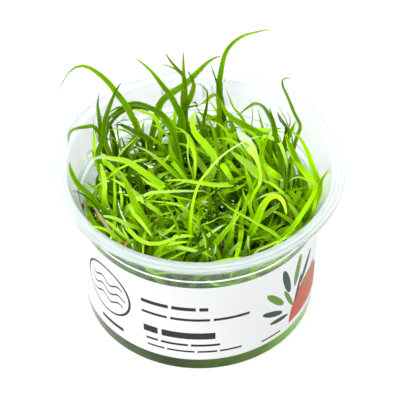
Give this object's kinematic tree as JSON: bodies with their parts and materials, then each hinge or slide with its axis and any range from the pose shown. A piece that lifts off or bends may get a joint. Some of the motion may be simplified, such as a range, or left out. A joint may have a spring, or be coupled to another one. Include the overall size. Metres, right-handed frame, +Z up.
{
  "type": "tissue culture dwarf sagittaria",
  "caption": "Dwarf sagittaria plantlets with narrow arching leaves, grown on nutrient gel in a clear flanged plastic culture cup with a plain wrap label",
  "frame": {"origin": "centre of the cup's flat underside", "axes": "+Z up through the cup's mouth, +X to the right and -Y towards the viewer when the printed front faces the viewer"},
  "size_m": [0.086, 0.086, 0.078],
  "materials": {
    "cup": "clear, slightly milky moulded plastic",
    "label": "white satin printed wrap",
    "gel": "wet, cloudy olive gel",
    "crown": "satin young leaf, yellow-green",
    "leaf": "satin leaf, fresh green to dark green"
  },
  "bodies": {
    "root": {"cup": "cup", "label": "label", "gel": "gel", "plant_01_crown": "crown", "plant_01_leaf_1": "leaf", "plant_01_leaf_2": "leaf", "plant_01_leaf_3": "leaf", "plant_02_crown": "crown", "plant_02_leaf_1": "leaf", "plant_02_leaf_2": "leaf", "plant_02_leaf_3": "leaf", "plant_02_leaf_4": "leaf", "plant_03_crown": "crown", "plant_03_leaf_1": "leaf", "plant_03_leaf_2": "leaf", "plant_04_crown": "crown", "plant_04_leaf_1": "leaf", "plant_04_leaf_2": "leaf", "plant_04_leaf_3": "leaf", "plant_05_crown": "crown", "plant_05_leaf_1": "leaf", "plant_05_leaf_2": "leaf", "plant_05_leaf_3": "leaf", "plant_06_crown": "crown", "plant_06_leaf_1": "leaf", "plant_06_leaf_2": "leaf", "plant_06_leaf_3": "leaf", "plant_06_leaf_4": "leaf", "plant_07_crown": "crown", "plant_07_leaf_1": "leaf", "plant_07_leaf_2": "leaf", "plant_07_leaf_3": "leaf", "plant_07_leaf_4": "leaf", "plant_08_crown": "crown", "plant_08_leaf_1": "leaf", "plant_08_leaf_2": "leaf", "plant_08_leaf_3": "leaf", "plant_09_crown": "crown", "plant_09_leaf_1": "leaf", "plant_09_leaf_2": "leaf", "plant_09_leaf_3": "leaf", "plant_10_crown": "crown", "plant_10_leaf_1": "leaf", "plant_10_leaf_2": "leaf", "plant_10_leaf_3": "leaf", "plant_11_crown": "crown", "plant_11_leaf_1": "leaf", "plant_11_leaf_2": "leaf", "plant_11_leaf_3": "leaf", "plant_12_crown": "crown", "plant_12_leaf_1": "leaf", "plant_12_leaf_2": "leaf", "plant_12_leaf_3": "leaf", "plant_13_crown": "crown", "plant_13_leaf_1": "leaf", "plant_13_leaf_2": "leaf", "plant_14_crown": "crown", "plant_14_leaf_1": "leaf", "plant_14_leaf_2": "leaf", "plant_14_leaf_3": "leaf"}
  },
  "joints": []
}
